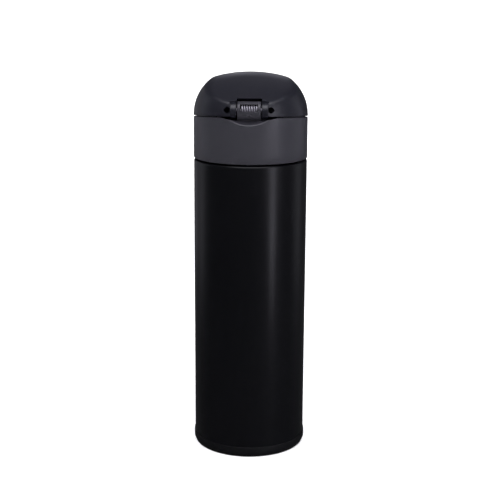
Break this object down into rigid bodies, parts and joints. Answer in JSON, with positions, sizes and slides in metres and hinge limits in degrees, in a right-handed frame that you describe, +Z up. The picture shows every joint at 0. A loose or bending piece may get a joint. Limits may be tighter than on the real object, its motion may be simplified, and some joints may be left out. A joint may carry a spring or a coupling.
{
  "type": "vacuum flask",
  "caption": "Slim double-walled steel drinks flask with a screw-in stopper, a drinking mouthpiece and a one-touch hinged lid.",
  "frame": {"origin": "centre of the base, where the flask stands", "axes": "+Z up along the flask; the lid's hinge is at -Y and the push button at +Y"},
  "size_m": [0.067, 0.067, 0.2236],
  "materials": {
    "coated_steel": "satin black coating",
    "bare_steel": "electropolished",
    "copper": "foil",
    "getter_metal": "sintered",
    "black_plastic": "satin moulded",
    "grey_plastic": "satin moulded dark grey",
    "inner_plastic": "fine moulded",
    "silicone": "soft silicone",
    "pad_rubber": "matt rubber"
  },
  "bodies": {
    "bottle": {"outer_shell": "coated_steel", "inner_liner": "bare_steel", "radiation_foil": "copper", "getter": "getter_metal", "outer_bottom": "bare_steel", "vacuum_seal": "getter_metal", "base_cap": "black_plastic", "base_pad": "pad_rubber"},
    "mouth_seal": {"mouth_gasket": "silicone"},
    "stopper": {"stopper_body": "inner_plastic", "collar": "grey_plastic", "spout": "inner_plastic", "spout_gasket": "silicone", "hinge_pin": "bare_steel", "hinge_spring": "bare_steel", "button_spring": "bare_steel"},
    "button": {"push_button": "grey_plastic"},
    "lock": {"lock_slider": "grey_plastic"},
    "lid": {"lid_cover": "black_plastic", "lid_liner": "inner_plastic", "lid_gasket": "silicone", "gasket_holder": "inner_plastic"}
  },
  "joints": [
    {"name": "stopper_rise", "type": "slide", "parent": "bottle", "child": "mouth_seal", "axis": [0, 0, 1], "range_m": [0, 0.005]},
    {"name": "stopper_turn", "type": "hinge", "parent": "mouth_seal", "child": "stopper", "pos_m": [0, 0, 0.17], "axis": [0, 0, 1], "range_deg": [0, 450]},
    {"name": "lid_hinge", "type": "hinge", "parent": "stopper", "child": "lid", "pos_m": [0, -0.0275, 0.204], "axis": [1, 0, 0], "range_deg": [0, 120], "deforming": ["hinge_spring"]},
    {"name": "button_press", "type": "slide", "parent": "stopper", "child": "button", "axis": [0, -1, 0], "range_m": [0, 0.0018], "stiffness_N_per_m": 1500, "springref_m": -0.001, "deforming": ["button_spring"]},
    {"name": "lock_slide", "type": "hinge", "parent": "stopper", "child": "lock", "pos_m": [0, 0, 0.1885], "axis": [0, 0, 1], "range_deg": [0, 6]}
  ],
  "couplings": [
    {"joint": "stopper_rise", "follows": "stopper_turn", "m_per_rad": 0.00063662}
  ]
}
